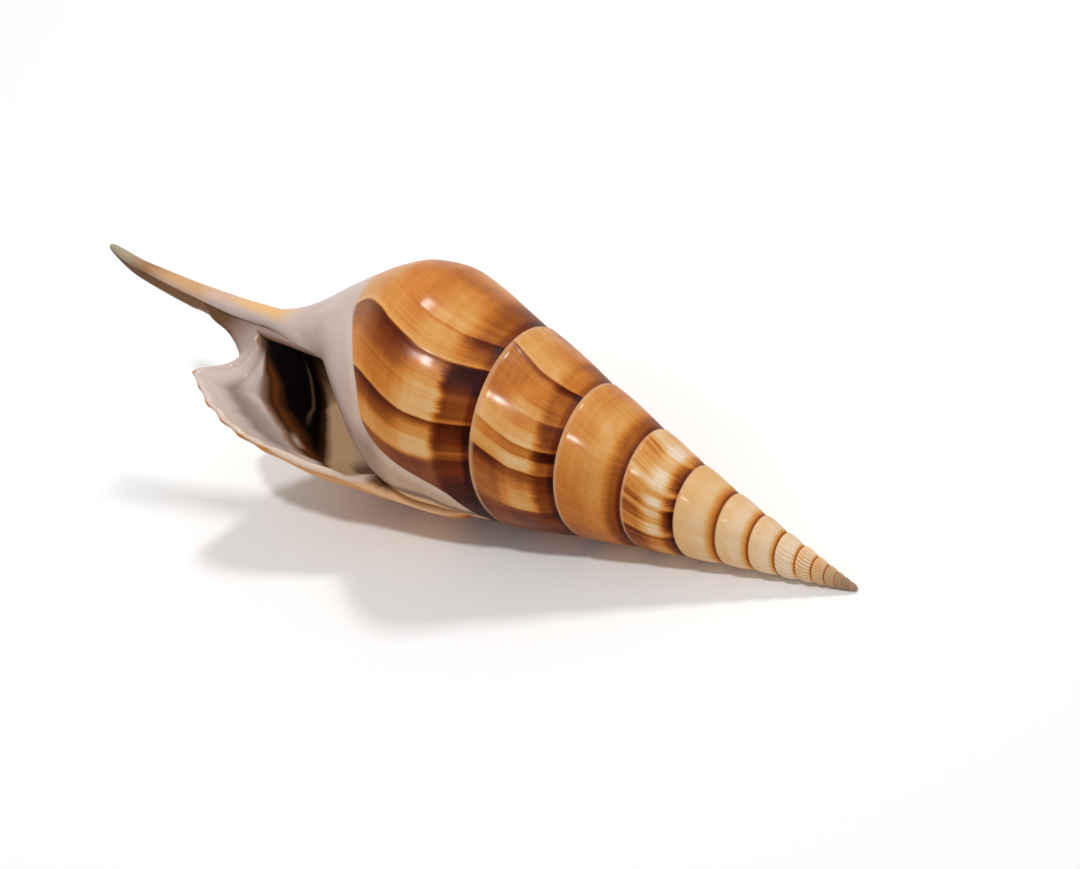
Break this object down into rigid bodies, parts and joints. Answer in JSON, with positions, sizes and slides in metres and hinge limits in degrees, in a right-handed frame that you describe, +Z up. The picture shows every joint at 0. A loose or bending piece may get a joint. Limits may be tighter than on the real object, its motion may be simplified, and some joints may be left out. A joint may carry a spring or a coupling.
{
  "type": "tibia shell",
  "caption": "Long spindle-shaped sea snail shell with a tall turned spire, a toothed flaring lip, a notch and a slender pointed canal.",
  "frame": {"origin": "centre of the footprint box of the shell as it lies, on the surface it rests on", "axes": "+X towards the apex along the lying shell, -Y the side that the mouth faces as it looks out and upwards, +Z up"},
  "size_m": [0.1322, 0.0352, 0.0336],
  "materials": {
    "shell": "polished caramel and chestnut brown outside, pale grey-mauve porcelain gloss round the mouth, dark inside"
  },
  "bodies": {
    "root": {"shell": "shell"}
  },
  "joints": []
}
